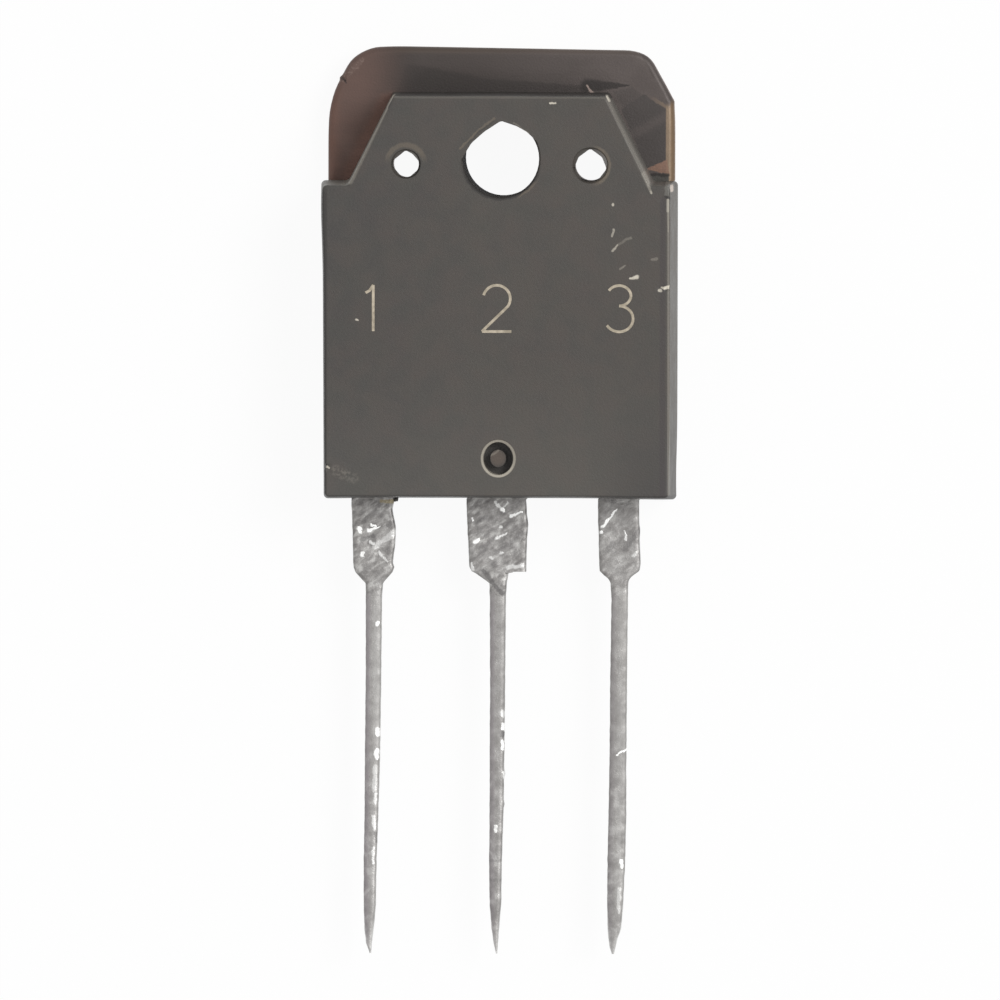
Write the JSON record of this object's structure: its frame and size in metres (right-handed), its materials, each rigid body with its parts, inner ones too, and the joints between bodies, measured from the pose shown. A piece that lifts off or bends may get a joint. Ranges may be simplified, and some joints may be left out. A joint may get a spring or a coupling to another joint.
{
  "type": "power transistor",
  "caption": "Moulded plastic power transistor with a bare copper tab, a screw hole through the body and flat leads with pointed tips.",
  "frame": {"origin": "where the axis of the mounting hole meets the heat-sink face", "axes": "+Z from the heat-sink face to the front, +Y to the top of the tab, leads along -Y, +X to the emitter lead's side"},
  "size_m": [0.0156, 0.0402, 0.0048],
  "materials": {
    "epoxy": "fine matt moulded epoxy, warm dark grey",
    "header_copper": "tarnished rolled copper, brown, brighter on its edges",
    "tinned_lead": "solder-dipped copper, dull silver, scratched",
    "silicon": "polished chip, sealed inside",
    "solder": "soft solder, sealed inside",
    "bond_wire": "drawn aluminium wire, sealed inside"
  },
  "bodies": {
    "root": {"moulded_body": "epoxy", "copper_header": "header_copper", "base_lead": "tinned_lead", "collector_lead": "tinned_lead", "emitter_lead": "tinned_lead", "silicon_die": "silicon", "die_solder": "solder", "base_wire": "bond_wire", "emitter_wire_1": "bond_wire", "emitter_wire_2": "bond_wire"}
  },
  "joints": []
}
